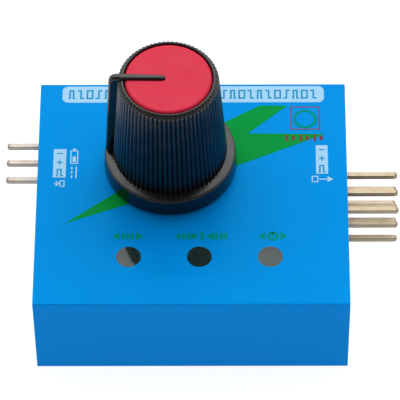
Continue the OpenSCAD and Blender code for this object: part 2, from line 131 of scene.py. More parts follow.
def apply_modifiers(piece):
    """Leaves the piece with its finished mesh and no modifiers."""
    graph = bpy.context.evaluated_depsgraph_get()
    mesh = bpy.data.meshes.new_from_object(piece.evaluated_get(graph))
    piece.modifiers.clear()
    piece.data = mesh


def combine(piece, tool, operation):
    """Cuts or joins the tool with the piece, then deletes the tool."""
    modifier = piece.modifiers.new("combine", "BOOLEAN")
    modifier.operation = operation
    modifier.solver = "EXACT"
    modifier.object = tool
    apply_modifiers(piece)
    bpy.data.objects.remove(tool)


def soften(piece, width, segments=2, angle=35):
    """Rounds every edge sharper than the angle."""
    modifier = piece.modifiers.new("soften", "BEVEL")
    modifier.width = width * MM
    modifier.segments = segments
    modifier.limit_method = "ANGLE"
    modifier.angle_limit = math.radians(angle)
    modifier.use_clamp_overlap = True
    apply_modifiers(piece)


def round_top_edges(piece, level, radius, segments=5):
    """Rounds the sharp edges that lie at one level, in millimetres."""
    bm = bmesh.new()
    bm.from_mesh(piece.data)
    edges = [
        e for e in bm.edges
        if all(abs(v.co.z - level * MM) < 1e-6 for v in e.verts) and e.calc_face_angle(0) > math.radians(50)
    ]
    bmesh.ops.bevel(
        bm, geom=edges, offset=radius * MM, segments=segments,
        profile=0.5, affect="EDGES", clamp_overlap=False)
    bm.to_mesh(piece.data)
    bm.free()


def shade(piece, angle=32):
    """Smooth shading that stays crisp at edges sharper than the angle."""
    bm = bmesh.new()
    bm.from_mesh(piece.data)
    for face in bm.faces:
        face.smooth = True
    for edge in bm.edges:
        flat = edge.calc_face_angle(math.pi) if len(edge.link_faces) == 2 else math.pi
        edge.smooth = flat < math.radians(angle)
    bm.to_mesh(piece.data)
    bm.free()
    modifier = piece.modifiers.new("normals", "WEIGHTED_NORMAL")
    modifier.keep_sharp = True
    apply_modifiers(piece)


def prism(bm, outline, low, high, place=lambda u, v, w: (u, v, w)):
    """A closed outline run from one level to another."""
    bottom = [bm.verts.new(place(u, v, low)) for u, v in outline]
    top = [bm.verts.new(place(u, v, high)) for u, v in outline]
    bm.faces.new(bottom[::-1])
    bm.faces.new(top)
    count = len(outline)
    for i in range(count):
        j = (i + 1) % count
        bm.faces.new((bottom[i], bottom[j], top[j], top[i]))


def box_mesh(bm, low, high):
    """An upright box between two corners."""
    corners = [(low[0], low[1]), (high[0], low[1]), (high[0], high[1]), (low[0], high[1])]
    prism(bm, corners, low[2], high[2])


def circle(cx, cy, r, count=64):
    """Points round a full circle."""
    turns = [2 * math.pi * i / count for i in range(count)]
    return [(cx + r * math.cos(t), cy + r * math.sin(t)) for t in turns]


def arc(cx, cy, r, start, end, count):
    """Points round an arc, with angles in degrees."""
    steps = [math.radians(start + (end - start) * i / count) for i in range(count + 1)]
    return [(cx + r * math.cos(t), cy + r * math.sin(t)) for t in steps]


def round_rect(x0, y0, x1, y1, r, count=6):
    """A rectangle's outline with round corners."""
    outline = arc(x1 - r, y0 + r, r, -90, 0, count)
    outline += arc(x1 - r, y1 - r, r, 0, 90, count)
    outline += arc(x0 + r, y1 - r, r, 90, 180, count)
    outline += arc(x0 + r, y0 + r, r, 180, 270, count)
    return outline


def tool_from(add, *args):
    """A cutting tool made by one of the mesh functions."""
    bm = bmesh.new()
    add(bm, *args)
    return piece_from("tool", bm)


def ring_of(bm, inner, outer, low, high):
    """A flat band between two loops of equal length."""
    loops = []
    for loop in (inner, outer):
        for level in (low, high):
            loops.append([bm.verts.new((u, v, level)) for u, v in loop])
    inner_low, inner_high, outer_low, outer_high = loops
    count = len(inner)
    for i in range(count):
        j = (i + 1) % count
        bm.faces.new((inner_high[i], inner_high[j], outer_high[j], outer_high[i]))
        bm.faces.new((inner_low[j], inner_low[i], outer_low[i], outer_low[j]))
        bm.faces.new((outer_low[i], outer_low[j], outer_high[j], outer_high[i]))
        bm.faces.new((inner_low[j], inner_low[i], inner_high[i], inner_high[j]))


# ---------------------------------------------------------------- materials

class Finish:
    """A Principled material under construction, with object coordinates in metres."""

    def __init__(self, name):
        self.material = bpy.data.materials.new(name)
        self.material.use_nodes = True
        self.tree = self.material.node_tree
        self.shader = self.tree.nodes["Principled BSDF"]
        self.coords = self.tree.nodes.new("ShaderNodeTexCoord").outputs["Object"]

    def set(self, **values):
        """Sets the shader's inputs, with underscores for the spaces in their names."""
        for key, value in values.items():
            self.shader.inputs[key.replace("_", " ")].default_value = value

    def join(self, output, socket):
        self.tree.links.new(output, socket)

    def stretched(self, factors):
        """The coordinates scaled along each axis. A factor below 1 draws a texture out along that axis."""
        node = self.tree.nodes.new("ShaderNodeMapping")
        node.inputs["Scale"].default_value = factors
        self.join(self.coords, node.inputs["Vector"])
        return node.outputs["Vector"]

    def noise(self, size_mm, detail=3.0, vector=None, roughness=0.55):
        """Noise whose features are about this many millimetres across."""
        node = self.tree.nodes.new("ShaderNodeTexNoise")
        node.inputs["Scale"].default_value = 1 / (size_mm * MM)
        node.inputs["Detail"].default_value = detail
        node.inputs["Roughness"].default_value = roughness
        self.join(vector or self.coords, node.inputs["Vector"])
        return node.outputs["Fac"]

    def remap(self, value, low, high, to_low, to_high):
        """Maps the range from low to high onto to_low to to_high, and holds it at both ends."""
        node = self.tree.nodes.new("ShaderNodeMapRange")
        node.inputs["From Min"].default_value = low
        node.inputs["From Max"].default_value = high
        node.inputs["To Min"].default_value = to_low
        node.inputs["To Max"].default_value = to_high
        self.join(value, node.inputs["Value"])
        return node.outputs["Result"]

    def math(self, operation, first, second):
        """A sum or product of two values, each a number or an output."""
        node = self.tree.nodes.new("ShaderNodeMath")
        node.operation = operation
        for socket, value in zip(node.inputs, (first, second)):
            if isinstance(value, (int, float)):
                socket.default_value = value
            else:
                self.join(value, socket)
        return node.outputs["Value"]

    def mix(self, factor, first, second):
        """Mixes two colours, each a tuple or an output."""
        node = self.tree.nodes.new("ShaderNodeMix")
        node.data_type = "RGBA"
        self.join(factor, node.inputs["Factor"])
        for key, value in (("A", first), ("B", second)):
            socket = [s for s in node.inputs if s.name == key and s.type == "RGBA"][0]
            if isinstance(value, tuple):
                socket.default_value = (*value, 1)
            else:
                self.join(value, socket)
        return [s for s in node.outputs if s.type == "RGBA"][0]

    def normal_z(self):
        """How far the surface faces up, from -1 to 1."""
        coords = self.tree.nodes.new("ShaderNodeTexCoord")
        split = self.tree.nodes.new("ShaderNodeSeparateXYZ")
        self.join(coords.outputs["Normal"], split.inputs["Vector"])
        return split.outputs["Z"]

    def bump(self, height, depth_mm, strength=1.0, after=None):
        """Relief this many millimetres deep, on top of an earlier bump if one is given."""
        node = self.tree.nodes.new("ShaderNodeBump")
        node.inputs["Distance"].default_value = depth_mm * MM
        node.inputs["Strength"].default_value = strength
        self.join(height, node.inputs["Height"])
        if after is not None:
            self.join(after, node.inputs["Normal"])
        self.join(node.outputs["Normal"], self.shader.inputs["Normal"])
        return node.outputs["Normal"]


def shades(colour, factor):
    """The colour made lighter or darker."""
    return tuple(min(1.0, c * factor) for c in colour)


def moulded(name, colour, roughness, grain_mm=0.25, grain_depth=0.004, variation=0.12, specular=0.5):
    """Moulded plastic: fine grain, faint flow marks and handling smudges."""
    f = Finish(name)
    flow = f.noise(3.5, 3)
    uneven = f.mix(flow, shades(colour, 1 - variation), shades(colour, 1 + variation))
    f.join(uneven, f.shader.inputs["Base Color"])
    smudge = f.noise(1.8, 4)
    f.join(f.remap(smudge, 0.3, 0.7, roughness - 0.05, roughness + 0.09), f.shader.inputs["Roughness"])
    f.set(Specular_IOR_Level=specular)
    f.bump(f.noise(grain_mm, 4), grain_depth, 0.6)
    return f.material


def metal(name, colour, roughness, brushed=(1, 1, 1), tarnish=None):
    """Plated or bare metal with fine drawing lines and light tarnish."""
    f = Finish(name)
    f.set(Metallic=1.0)
    lines = f.noise(0.12, 3, f.stretched(brushed))
    stain = f.noise(1.2, 4)
    dull = tarnish or shades(colour, 0.72)
    f.join(f.mix(f.remap(stain, 0.45, 0.75, 0, 1), colour, dull), f.shader.inputs["Base Color"])
    f.join(f.remap(lines, 0.25, 0.75, roughness - 0.06, roughness + 0.1), f.shader.inputs["Roughness"])
    f.bump(lines, 0.002, 0.5)
    return f.material


WALL_SPECULAR = 0.02


def glossy_sheet(
        name, colour, variation=0.05, specular=0.07, tint=(0.0, 1.0, 0.25), roughness=0.2, shaded_wall_colour=None):
    """Glossy printed sheet: soft waviness, faint scratches and uneven ink; upright walls get less specular
    and a darker painted-shade copy of the colour.
    """
    f = Finish(name)
    ink = f.noise(6, 3)
    even = f.mix(ink, shades(colour, 1 - variation), shades(colour, 1 + variation))
    if shaded_wall_colour:
        # Upright walls take a darker copy of the colour, which is painted shade, and a lower specular level
        upward = f.remap(f.normal_z(), 0.3, 0.8, 0, 1)
        even = f.mix(upward, shaded_wall_colour, even)
        f.join(f.remap(upward, 0, 1, WALL_SPECULAR, specular), f.shader.inputs["Specular IOR Level"])
    f.join(even, f.shader.inputs["Base Color"])
    scuff = f.noise(0.5, 4, f.stretched((1, 0.12, 1)))
    marks = f.remap(scuff, 0.62, 0.75, 0, 0.12)
    base = f.remap(f.noise(4, 4), 0.3, 0.75, roughness - 0.02, roughness + 0.04)
    f.join(f.math("ADD", base, marks), f.shader.inputs["Roughness"])
    f.set(Specular_IOR_Level=specular, Specular_Tint=(*tint, 1))
    peel = f.bump(f.noise(6, 1.5), 0.012, 0.5)
    f.bump(f.noise(0.3, 2), 0.001, 0.4, after=peel)
    return f.material


def clear_plastic(name, tint, body=1.0, ior=1.5):
    """Clear plastic with a faintly uneven surface. A body below 1 makes it cloudy."""
    f = Finish(name)
    f.set(Transmission_Weight=body, IOR=ior)
    f.shader.inputs["Base Color"].default_value = (*tint, 1)
    f.join(f.remap(f.noise(1.2, 4), 0.35, 0.7, 0.03, 0.06), f.shader.inputs["Roughness"])
    f.bump(f.noise(2.5, 2), 0.003, 0.3)
    return f.material


def board_mask(name):
    """Green solder mask with the copper tracks showing faintly through it."""
    f = Finish(name)
    tracks = f.noise(1.6, 0, f.stretched((1, 0.25, 1)))
    copper = f.remap(tracks, 0.5, 0.52, 0, 1)
    f.join(f.mix(copper, (0.008, 0.085, 0.03), (0.016, 0.16, 0.055)), f.shader.inputs["Base Color"])
    f.join(f.remap(f.noise(1, 3), 0.3, 0.7, 0.22, 0.38), f.shader.inputs["Roughness"])
    f.bump(copper, 0.02, 0.5)
    return f.material


BLUE = (0.0, 0.278, 0.8)
# A darker copy of the blue for the case's upright walls: painted shade
BLUE_WALL_SHADE = (0.0, 0.226, 0.69)
PALE = (0.335, 0.63, 0.88)
GREEN = (0.002, 0.295, 0.047)

BLUE_SHEET = glossy_sheet("blue_sheet", BLUE, shaded_wall_colour=BLUE_WALL_SHADE)
BASE_SHEET = glossy_sheet("base_sheet", shades(BLUE, 0.85), roughness=0.25)
PALE_INK = glossy_sheet("pale_ink", PALE, variation=0.02, specular=0.25, tint=(0.8, 0.95, 1.0))
BLUE_INK = glossy_sheet("blue_ink", (0.0, 0.27, 0.58), variation=0.03)
GREEN_INK = glossy_sheet("green_ink", GREEN, variation=0.08, tint=(0.0, 1.0, 0.2))
TEAL_INK = glossy_sheet("teal_ink", (0.0, 0.28, 0.19), variation=0.05, tint=(0.0, 1.0, 0.8))
RED_INK = glossy_sheet("red_ink", (0.16, 0.055, 0.06), variation=0.05, tint=(1.0, 0.4, 0.5))
KNOB_BLACK = moulded("knob_black", (0.0028, 0.003, 0.004), 0.2, grain_mm=0.3, grain_depth=0.003)
CAP_RED = moulded(
    "cap_red", (0.69, 0.012, 0.05), 0.5, grain_mm=0.15, grain_depth=0.005, variation=0.045, specular=0.25)
BLACK_PLASTIC = moulded("black_plastic", (0.012, 0.012, 0.013), 0.45)
POT_PLASTIC = moulded("pot_plastic", (0.015, 0.02, 0.035), 0.5)
PHENOLIC = moulded("phenolic", (0.17, 0.07, 0.025), 0.55, grain_mm=0.4, variation=0.25)
CARBON = moulded("carbon", (0.01, 0.01, 0.01), 0.6)
RESISTOR = moulded("resistor_glaze", (0.015, 0.015, 0.016), 0.25)
CERAMIC = moulded("ceramic", (0.42, 0.25, 0.12), 0.5)
LED_WHITE = moulded("led_white", (0.8, 0.8, 0.76), 0.4, variation=0.03)
STEEL = metal("plated_steel", (0.62, 0.62, 0.6), 0.28, brushed=(1, 0.1, 1))
TINNED = metal("tinned_metal", (0.68, 0.67, 0.65), 0.34)
SPRING = metal("spring_bronze", (0.7, 0.5, 0.22), 0.3, brushed=(0.1, 1, 1))
CAST = metal("cast_alloy", (0.55, 0.53, 0.48), 0.38)
SILVER_PIN = metal("silver_pin", (0.32, 0.285, 0.25), 0.34, brushed=(0.08, 1, 1), tarnish=(0.27, 0.23, 0.19))
GOLD_PIN = metal("gold_pin", (0.3, 0.25, 0.18), 0.32, brushed=(0.08, 1, 1), tarnish=(0.27, 0.205, 0.13))
ALUMINIUM = metal("aluminium", (0.75, 0.75, 0.77), 0.22, brushed=(1, 1, 0.1))
WINDOW_CLEAR = clear_plastic("window_clear", (0.12, 0.24, 0.23), 0.9, 1.42)
LED_CLEAR = clear_plastic("led_clear", (0.9, 0.95, 0.9))
MASK = board_mask("solder_mask")

CAD_FINISHES = {
    MASK: ["circuit_board"],
    BASE_SHEET: ["base_cover"],
    BLACK_PLASTIC: ["switch_base", "switch_plunger", "capacitor_base", "microcontroller"],
    STEEL: ["switch_frame", "pot_frame", "pot_washer", "pot_nut"],
    SPRING: ["switch_dome", "pot_wiper"],
    TINNED: [
        "switch_terminals", "pot_terminals", "microcontroller_leads",
        "resistor_ends", "chip_capacitor_ends", "solder_joints",
    ],
    CAST: ["pot_bushing", "pot_shaft"],
    POT_PLASTIC: ["pot_case"],
    PHENOLIC: ["pot_wafer"],
    CARBON: ["pot_track"],
    RESISTOR: ["resistors"],
    CERAMIC: ["chip_capacitors"],
    LED_WHITE: ["led_left", "led_middle", "led_right"],
    LED_CLEAR: ["led_lens_left", "led_lens_middle", "led_lens_right"],
    ALUMINIUM: ["capacitor_can"],
    WINDOW_CLEAR: ["window_left", "window_middle", "window_right"],
}


def dress_cad_nodes():
    """Gives every CAD node that stays in view its material."""
    for material, nodes in CAD_FINISHES.items():
        for node in nodes:
            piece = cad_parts[node]
            if not piece.material_slots:
                piece.data.materials.append(material)
            for slot in piece.material_slots:
                slot.link = "OBJECT"
                slot.material = material


def finish(piece, material, body, replaced=()):
    """Gives a finished piece its material, its body and the CAD nodes that it stands for."""
    piece.data.materials.clear()
    piece.data.materials.append(material)
    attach(piece, body)
    if replaced:
        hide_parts(*replaced)


# ---------------------------------------------------------------- case

OPENING_GAP = 0.15
WINDOW_GAP = 0.01
KEY_GAP = 0.015
BUSHING_GAP = 0.1
# How far a cutting tool runs past the wall that it cuts
PAST_WALL = 1.5
KEY_FLANGE = 0.5
KEY_FLANGE_T = 0.3


def make_case():
    """The folded cover, with round folds, openings for the headers and crisp cut edges."""
    bm = bmesh.new()
    box_mesh(bm, CASE_LOW, CASE_HIGH)
    rounded = [e for e in bm.edges if any(v.co.z > TOP - 0.001 for v in e.verts)]
    bmesh.ops.bevel(bm, geom=rounded, offset=FOLD, segments=5, profile=0.5, affect="EDGES")
    case = piece_from("case_cover", bm)
    inside_low = (CASE_LOW.x + WALL, CASE_LOW.y + WALL, -1)
    inside_high = (CASE_HIGH.x - WALL, CASE_HIGH.y - WALL, TOP - WALL)
    combine(case, tool_from(box_mesh, inside_low, inside_high), "DIFFERENCE")
    for node, outer in (("input_housing", CASE_LOW.x), ("output_housing", CASE_HIGH.x)):
        low, high = span(node)
        opening_low = (outer - PAST_WALL, low.y - OPENING_GAP, low.z - OPENING_GAP)
        opening_high = (outer + PAST_WALL, high.y + OPENING_GAP, high.z + OPENING_GAP)
        combine(case, tool_from(box_mesh, opening_low, opening_high), "DIFFERENCE")
    soften(case, 0.05)
    holes = [(w.x, w.y, WINDOW_D / 2 + WINDOW_GAP) for w in WINDOWS]
    holes += [(KEY.x, KEY.y, KEY_D / 2 + KEY_GAP), (AXIS.x, AXIS.y, BUSHING_D / 2 + BUSHING_GAP)]
    for x, y, r in holes:
        combine(case, tool_from(prism, circle(x, y, r, 96), TOP - 2, TOP + 1), "DIFFERENCE")
    shade(case)
    finish(case, BLUE_SHEET, "case", ["top_cover"])


def make_key():
    """The round key, flush with the cover, with a flange that stays under the cover."""
    underside = span("select_pad")[0].z
    bm = bmesh.new()
    prism(bm, circle(KEY.x, KEY.y, KEY_D / 2, 96), underside, TOP)
    prism(bm, circle(KEY.x, KEY.y, KEY_D / 2 + KEY_FLANGE, 96), underside, underside + KEY_FLANGE_T)
    key = piece_from("select_key_pad", bm)
    soften(key, 0.01, 1)
    shade(key)
    finish(key, BLUE_SHEET, "select_key", ["select_pad"])


# ---------------------------------------------------------------- knob

RIBS = 70
STEPS_PER_RIB = 10
RIB_DEPTH = 0.22
GRIP_FOOT_R = 6.7
GRIP_TOP_R = 5.85
RIM_ROUND = 0.7
CAP_R = 5.05
BAR_RISE = 0.3
BAR_ROOT_W = 0.8
BAR_TIP_W = 0.6
BAR_END = -0.37
BAR_ROOT_X = -5.6
BAR_DEPTH = 1.6
BAR_SLOT_GAP = 0.06
SKIRT_HOLLOW_R = 6.1
SKIRT_HOLLOW_TOP = 2.25
SKIRT_ROUND = 0.25
SKIRT_DRAFT = 0.12
LEDGE = 2.4
LEDGE_ROUND = 0.26
GRIP_FOOT = 2.53
# The share of the ribs' depth that is left at each step over the rounded rim
RIB_FADE = (1, 1, 0.95, 0.85, 0.7, 0.5, 0.3, 0.1, 0)
POCKET_DEPTH = 1.2
FIN_W = 0.95
FIN_INSIDE = -5.2
FIN_FOOT_X = -7.6
FIN_FOOT_Z = 2.42
FIN_CORNER_X = -5.9
FIN_CORNER_R = 1.0
NUT_RECESS_R = 4.1
NUT_RECESS_TOP = 3.75
SHAFT_HOLE_R = 3.0
SHAFT_HOLE_TOP = 11.2
# The knob rests turned a little clockwise, seen from above
KNOB_TURN = math.radians(-1.7)


def on_knob_axis(level):
    """Places a mesh made about the origin on the knob's axis, at this level and at the rest angle."""
    place = Matrix.Translation(Vector((AXIS.x, AXIS.y, level)) * MM)
    return place @ Matrix.Rotation(KNOB_TURN, 4, "Z")


def knob_profile():
    """Rows of radius, height and share of rib depth.

    They run from the hollow under the skirt, round the outside, to the floor of the insert's pocket."""
    rim = KNOB_HIGH.z - KNOB_LOW.z - BAR_RISE
    skirt_r = (KNOB_HIGH.x - KNOB_LOW.x) / 2
    rows = [(SKIRT_HOLLOW_R, SKIRT_HOLLOW_TOP, 0), (SKIRT_HOLLOW_R, 0.08, 0), (SKIRT_HOLLOW_R + 0.08, 0, 0)]
    rows += [(r, z, 0) for r, z in arc(skirt_r - SKIRT_ROUND, SKIRT_ROUND, SKIRT_ROUND, -90, 0, 5)]
    ledge_x = skirt_r - SKIRT_DRAFT - LEDGE_ROUND
    rows += [(r, z, 0) for r, z in arc(ledge_x, LEDGE - LEDGE_ROUND - 0.01, LEDGE_ROUND, 3, 82, 6)]
    # The ledge runs into the grip with a small fillet, and the ribs start just above it
    rows += [(GRIP_FOOT_R + 0.3, GRIP_FOOT - 0.05, 0), (GRIP_FOOT_R + 0.06, GRIP_FOOT - 0.01, 0)]
    rows += [(GRIP_FOOT_R, GRIP_FOOT + 0.01, 0.95), (GRIP_FOOT_R - 0.01, GRIP_FOOT + 0.1, 1)]
    shoulder = rim - RIM_ROUND
    steps = 12
    for i in range(1, steps + 1):
        share = i / steps
        height = GRIP_FOOT + 0.1 + (shoulder - GRIP_FOOT - 0.1) * share
        rows.append((GRIP_FOOT_R + (GRIP_TOP_R - GRIP_FOOT_R) * share, height, 1))
    rounding = arc(GRIP_TOP_R - RIM_ROUND, shoulder, RIM_ROUND, 0, 81, 9)[1:]
    rows += [(r, z, share) for (r, z), share in zip(rounding, RIB_FADE)]
    # The pocket's eased edge and its wall
    rows += [(CAP_R + 0.14, rim - 0.05, 0), (CAP_R + 0.09, rim - 0.15, 0)]
    rows += [(CAP_R + 0.02, rim - POCKET_DEPTH, 0)]
    return rows


def ribbed(turn):
    """0 on top of a round ridge, 1 at the bottom of the sharp groove beside it."""
    place = (turn * RIBS / (2 * math.pi)) % 1
    return (1 - abs(2 * place - 1)) ** 1.9


def revolve(bm, rows, steps, shape=lambda turn: 0):
    """A closed body of revolution about the knob's axis, with flat ends."""
    rings = []
    for r, z, share in rows:
        ring = []
        for i in range(steps):
            turn = 2 * math.pi * i / steps
            radius = r - RIB_DEPTH * share * shape(turn)
            ring.append(bm.verts.new((radius * math.cos(turn), radius * math.sin(turn), z)))
        rings.append(ring)
    for low, high in zip(rings, rings[1:]):
        for i in range(steps):
            j = (i + 1) % steps
            bm.faces.new((low[i], low[j], high[j], high[i]))
    bm.faces.new(rings[0][::-1])
    bm.faces.new(rings[-1])


def upright(u, v, w):
    """Puts an outline in X and Z, run along Y."""
    return u, w, v


def bar_outline(root_x, gap=0):
    """The pointer bar from above: it narrows towards a round end just short of the axis."""
    root = BAR_ROOT_W / 2 + gap
    tip = BAR_TIP_W / 2 + gap
    return [(root_x, root), (root_x, -root)] + arc(BAR_END - tip, 0, tip, -90, 90, 12)


def make_knob():
    """Skirt, ribbed grip, side fin and pointer bar as one shell, hollow underneath."""
    top = KNOB_HIGH.z - KNOB_LOW.z
    bm = bmesh.new()
    revolve(bm, knob_profile(), RIBS * STEPS_PER_RIB, ribbed)
    knob = piece_from("knob_shell", bm)

    fin_outline = [(FIN_INSIDE, top - 1.4), (FIN_INSIDE, FIN_FOOT_Z), (FIN_FOOT_X, FIN_FOOT_Z)]
    fin_outline += arc(FIN_CORNER_X, top - FIN_CORNER_R, FIN_CORNER_R, 180, 90, 10)
    fin_outline += [(FIN_INSIDE, top)]
    fin = tool_from(prism, fin_outline, -FIN_W / 2, FIN_W / 2, upright)
    soften(fin, 0.34, 3)
    combine(knob, fin, "UNION")

    bar_tool = tool_from(prism, bar_outline(BAR_ROOT_X), top - BAR_DEPTH, top)
    soften(bar_tool, 0.2, 4, 50)
    combine(knob, bar_tool, "UNION")

    combine(knob, tool_from(prism, circle(0, 0, NUT_RECESS_R, 48), -1, NUT_RECESS_TOP), "DIFFERENCE")
    combine(knob, tool_from(prism, circle(0, 0, SHAFT_HOLE_R, 48), -1, SHAFT_HOLE_TOP), "DIFFERENCE")
    knob.data.transform(on_knob_axis(KNOB_LOW.z))
    shade(knob, 48)
    finish(knob, KNOB_BLACK, "knob", ["knob"])


def make_knob_cap():
    """The red insert, flush with the rim, with round edges and a slot for the pointer bar."""
    low, high = span("knob_cap")
    slot = bar_outline(-CAP_R - 1, BAR_SLOT_GAP)
    bm = bmesh.new()
    prism(bm, circle(0, 0, CAP_R, 144), low.z, high.z)
    cap = piece_from("knob_insert", bm)
    round_top_edges(cap, high.z, 0.4)
    combine(cap, tool_from(prism, slot, low.z - 1, high.z + 1), "DIFFERENCE")
    soften(cap, 0.08, 3, 50)
    cap.data.transform(on_knob_axis(0))
    shade(cap)
    finish(cap, CAP_RED, "knob", ["knob_cap"])


# ---------------------------------------------------------------- headers

TIP_LENGTH = 0.22
TIP_SHARE = 0.62
TAIL_LENGTH = 0.3
TAIL_SHARE = 0.5
BEND_R = 0.55
BEND_STEPS = 6
PIN_GAP = 0.01
NOTCH = 0.28


def pin_section(half):
    """A square with slightly eased corners."""
    ease = half * 0.14
    return [
        (half, -half + ease), (half, half - ease), (half - ease, half), (-half + ease, half),
        (-half, half - ease), (-half, -half + ease), (-half + ease, -half), (half - ease, -half),
    ]


def add_pin(bm, tip_x, leg_x, y, z, tail_z):
    """One square wire: chamfered tip, straight run, rounded bend and a tail through the board."""
    half = PIN / 2
    side = 1 if tip_x > leg_x else -1
    # Each station is a place in X and Z, the wire's turn downwards, and the share of its full thickness
    stations = [((tip_x, z), 0, TIP_SHARE)]
    stations += [((tip_x - side * back, z), 0, 1) for back in (TIP_LENGTH, 0.5)]
    for i in range(BEND_STEPS + 1):
        turn = i / BEND_STEPS * math.pi / 2
        x = leg_x + side * BEND_R * (1 - math.sin(turn))
        stations.append(((x, z - BEND_R * (1 - math.cos(turn))), turn, 1))
    stations += [((leg_x, tail_z + TAIL_LENGTH), math.pi / 2, 1), ((leg_x, tail_z), math.pi / 2, TAIL_SHARE)]
    rings = []
    for (x, height), turn, size in stations:
        ring = []
        for u, v in pin_section(half * size):
            across_x = side * math.sin(turn) * v
            ring.append(bm.verts.new((x + across_x, y + u, height + math.cos(turn) * v)))
        rings.append(ring)
    for low, high in zip(rings, rings[1:]):
        for i in range(8):
            j = (i + 1) % 8
            bm.faces.new((low[i], low[j], high[j], high[i]))
    bm.faces.new(rings[0][::-1])
    bm.faces.new(rings[-1])


def make_pins(node, name, material):
    """One row of three pins in place of its CAD node."""
    low, high = span(node)
    outward = high.x > 0
    tip_x, leg_x = (high.x, low.x + PIN / 2) if outward else (low.x, high.x - PIN / 2)
    bm = bmesh.new()
    for column in (-1, 0, 1):
        add_pin(bm, tip_x, leg_x, (low.y + high.y) / 2 + column * PITCH, high.z - PIN / 2, low.z)
    pins = piece_from(name, bm)
    shade(pins, 40)
    finish(pins, material, "case", [node])


def edgewise(u, v, w):
    """Puts an outline in Y and Z, run along X."""
    return w, u, v


def header_outline(low, high, rows):
    """The block's outline seen along its pins, notched between neighbouring pins."""
    edges_y = [low.y + i * PITCH for i in range(4)]
    edges_z = [low.z] + [low.z + ROW_LIFT + (i + 0.5) * ROW_PITCH for i in range(rows - 1)] + [high.z]
    points = []
    for start, end in zip(edges_y, edges_y[1:]):
        points += [(start, low.z + NOTCH), (start + NOTCH, low.z), (end - NOTCH, low.z)]
    for start, end in zip(edges_z, edges_z[1:]):
        points += [(high.y - NOTCH, start), (high.y, start + NOTCH), (high.y, end - NOTCH)]
    for start, end in zip(edges_y[::-1], edges_y[-2::-1]):
        points += [(start, high.z - NOTCH), (start - NOTCH, high.z), (end + NOTCH, high.z)]
    for start, end in zip(edges_z[::-1], edges_z[-2::-1]):
        points += [(low.y + NOTCH, start), (low.y, start - NOTCH), (low.y, end + NOTCH)]
    return [p for p, before in zip(points, points[-1:] + points) if math.dist(p, before) > 0.01]


def make_housing(node, name, rows):
    """A header's block, with a hole for each pin."""
    low, high = span(node)
    bm = bmesh.new()
    prism(bm, header_outline(low, high, rows), low.x, high.x, edgewise)
    housing = piece_from(name, bm)
    half = PIN / 2 + PIN_GAP
    for column in range(3):
        for row in range(rows):
            y = low.y + (column + 0.5) * PITCH
            z = low.z + ROW_LIFT + row * ROW_PITCH
            slot_low = (low.x - 1, y - half, z - half)
            slot_high = (high.x + 1, y + half, z + half)
            combine(housing, tool_from(box_mesh, slot_low, slot_high), "DIFFERENCE")
    soften(housing, 0.05, 2)
    shade(housing)
    finish(housing, BLACK_PLASTIC, "case", [node])


# ---------------------------------------------------------------- printed marks

INK = 0.012


def stroke(points, width):
    """The outline of a line of this width through the points, with mitred corners."""
    half = width / 2
    left, right = [], []
    for i, (x, y) in enumerate(points):
        before = points[i - 1] if i > 0 else None
        after = points[i + 1] if i < len(points) - 1 else None
        steps = []
        if before:
            steps.append(Vector((x - before[0], y - before[1])).normalized())
        if after:
            steps.append(Vector((after[0] - x, after[1] - y)).normalized())
        along = sum(steps, Vector((0, 0))).normalized()
        across = Vector((-along.y, along.x))
        first = Vector((-steps[0].y, steps[0].x))
        reach = half / max(0.3, across.dot(first))
        left.append((x + across.x * reach, y + across.y * reach))
        right.append((x - across.x * reach, y - across.y * reach))
    return left + right[::-1]


def bar(x0, y0, x1, y1):
    """A rectangle between two corners."""
    return [(x0, y0), (x1, y0), (x1, y1), (x0, y1)]


def bar_about(x, y, half_x, half_y):
    """A rectangle about its centre."""
    return bar(x - half_x, y - half_y, x + half_x, y + half_y)


def cross(x, y, reach, half):
    """A plus sign about its centre, with arms this long and half this wide."""
    return [
        (x - half, y - reach), (x + half, y - reach), (x + half, y - half), (x + reach, y - half),
        (x + reach, y + half), (x + half, y + half), (x + half, y + reach), (x - half, y + reach),
        (x - half, y + half), (x - reach, y + half), (x - reach, y - half), (x - half, y - half),
    ]


def wedge(x, y, w, h):
    """A triangle pointing to +X when w is positive, to -X when it is negative."""
    return [(x, y), (x - w, y + h / 2), (x - w, y - h / 2)]


def make_print(name, shapes, material, level=1, rings=()):
    """Ink shapes on top of the case, each an outline, and rings as pairs of outlines."""
    base = TOP + (level - 1) * INK
    bm = bmesh.new()
    for outline in shapes:
        prism(bm, outline, base, base + INK)
    for inner, outer in rings:
        ring_of(bm, inner, outer, base, base + INK)
    printed = piece_from(name, bm)
    finish(printed, material, "case")


# Small signal symbols as lines in a unit square
PULSE = [(0, 0), (0.2, 0), (0.2, 1), (0.72, 1), (0.72, 0), (1, 0)]
STEP = [(0, 1), (0.5, 1), (0.5, 0), (1, 0)]
FRAME = [(0.1, 0), (0.9, 0), (0.9, 1), (0.1, 1), (0.1, -0.1)]
RISE = [(0, 0), (0.5, 0), (0.5, 1), (1, 1)]


def placed(path, x, y, w, h):
    """A symbol's line moved and scaled from the unit square."""
    return [(x + u * w, y + v * h) for u, v in path]


def glyph_row(x0, x1, y, h, pitch, width):
    """Small signal symbols in a row: pulses, steps and boxes in turn."""
    kinds = [PULSE, STEP, FRAME, RISE, PULSE, FRAME, STEP]
    shapes = []
    count = int((x1 - x0) / pitch)
    for i in range(count):
        shapes.append(stroke(placed(kinds[i % len(kinds)], x0 + i * pitch, y, pitch * 0.74, h), width))
    return shapes


# The pale labels beside the pins: left, right, front and rear
PORT_LABELS = {"input": (-16.4, -14.9, 2.1, 6.3), "output": (14.6, 16, 2.6, 6.8)}
SIGN_HALF = 0.07
SUPPLY_X = -13.95
BATTERY_Y = 5.1
DIRECT_CURRENT_Y = 2.85


def make_title():
    """A pale bar along the rear edge with a row of signal symbols."""
    make_print("title_bar", [round_rect(-15.6, 13.3, 15.7, 15.75, 0.7)], PALE_INK)
    make_print("title_signals", glyph_row(-14.85, 15.4, 13.95, 1.15, 1.07, 0.19), BLUE_INK, 2)


